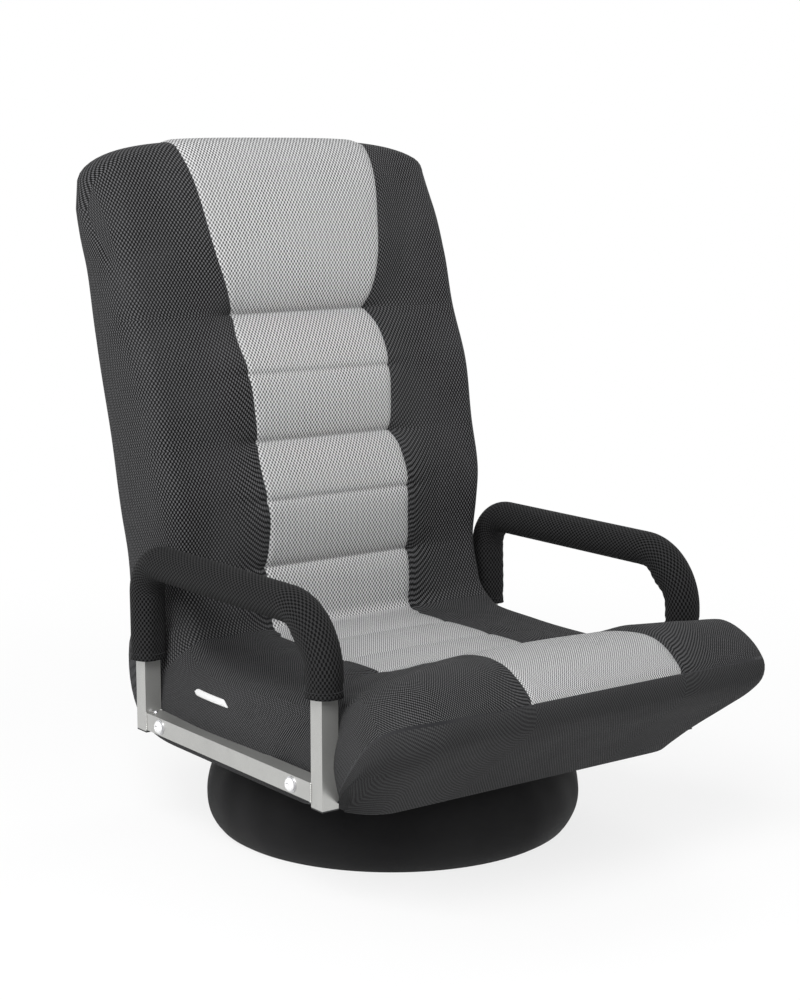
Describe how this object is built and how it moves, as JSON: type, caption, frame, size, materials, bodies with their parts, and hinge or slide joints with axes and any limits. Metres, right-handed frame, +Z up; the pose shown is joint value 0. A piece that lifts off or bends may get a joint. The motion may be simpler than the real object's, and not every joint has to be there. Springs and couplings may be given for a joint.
{
  "type": "floor chair",
  "caption": "Legless padded floor chair with mesh cushions, looped armrests, a ratchet reclining back and a round swivel base.",
  "frame": {"origin": "on the floor under the swivel axis", "axes": "+Z up, the sitter faces -Y, +X is the sitter's left"},
  "size_m": [0.538, 0.6823, 0.7805],
  "materials": {
    "base_cloth": "smooth matte black cloth",
    "floor_pad_rubber": "matte",
    "mesh_cushion": "black spacer mesh with light grey channelled centre panels",
    "sleeve_mesh": "black mesh sleeve over foam",
    "webbing": "woven elastic webbing",
    "arm_paint": "satin silver-grey paint",
    "frame_paint": "black powder coat",
    "plug_plastic": "matte black plastic",
    "zinc": "bright zinc plate"
  },
  "bodies": {
    "base": {"base_bolts": "zinc", "base_cover": "base_cloth", "base_floor_pad": "floor_pad_rubber", "base_floor_ring": "frame_paint", "base_hub_plate": "frame_paint", "base_nuts": "zinc", "base_spoke_1": "frame_paint", "base_spoke_2": "frame_paint", "base_spoke_3": "frame_paint", "base_spoke_4": "frame_paint", "swivel_ball_cage": "plug_plastic", "swivel_balls": "zinc", "swivel_lower_plate": "frame_paint", "swivel_rivet": "zinc"},
    "seat": {"armrest_bolts": "zinc", "armrest_hoop_left": "arm_paint", "armrest_hoop_right": "arm_paint", "armrest_nuts": "zinc", "armrest_plugs": "plug_plastic", "armrest_rail_left": "arm_paint", "armrest_rail_right": "arm_paint", "armrest_sleeve_left": "sleeve_mesh", "armrest_sleeve_right": "sleeve_mesh", "armrest_spacers": "zinc", "armrest_washers": "zinc", "hinge_pin_left": "zinc", "hinge_pin_right": "zinc", "hinge_tooth_plate_left": "frame_paint", "hinge_tooth_plate_right": "frame_paint", "seat_cushion": "mesh_cushion", "seat_front_bar": "frame_paint", "seat_rear_bar": "frame_paint", "seat_side_rail_left": "frame_paint", "seat_side_rail_right": "frame_paint", "seat_strap_1": "webbing", "seat_strap_2": "webbing", "seat_strap_3": "webbing", "seat_strap_4": "webbing", "seat_underside_cloth": "webbing", "swivel_bolts": "zinc", "swivel_carrier_front": "frame_paint", "swivel_carrier_rear": "frame_paint", "swivel_nuts": "zinc", "swivel_upper_plate": "frame_paint"},
    "back": {"back_bar_1": "frame_paint", "back_bar_2": "frame_paint", "back_cushion": "mesh_cushion", "back_frame_hoop": "frame_paint", "back_strap_1": "webbing", "back_strap_2": "webbing", "back_strap_3": "webbing", "back_strap_4": "webbing", "hinge_arm_left": "frame_paint", "hinge_arm_right": "frame_paint", "pawl_pin_left": "zinc", "pawl_pin_right": "zinc", "pawl_spring_left": "zinc", "pawl_spring_right": "zinc"},
    "pawl_left": {"pawl_left": "zinc"},
    "pawl_right": {"pawl_right": "zinc"}
  },
  "joints": [
    {"name": "swivel", "type": "hinge", "parent": "base", "child": "seat", "pos_m": [0, 0, 0.1], "axis": [0, 0, 1], "continuous": true},
    {"name": "recline", "type": "hinge", "parent": "seat", "child": "back", "pos_m": [0, 0.17, 0.18], "axis": [-1, 0, 0], "range_deg": [-18, 72]},
    {"name": "pawl_left_drop", "type": "hinge", "parent": "back", "child": "pawl_left", "pos_m": [0, 0.20307, 0.21783], "axis": [1, 0, 0], "range_deg": [0, 12]},
    {"name": "pawl_right_drop", "type": "hinge", "parent": "back", "child": "pawl_right", "pos_m": [0, 0.20307, 0.21783], "axis": [1, 0, 0], "range_deg": [0, 12]}
  ]
}
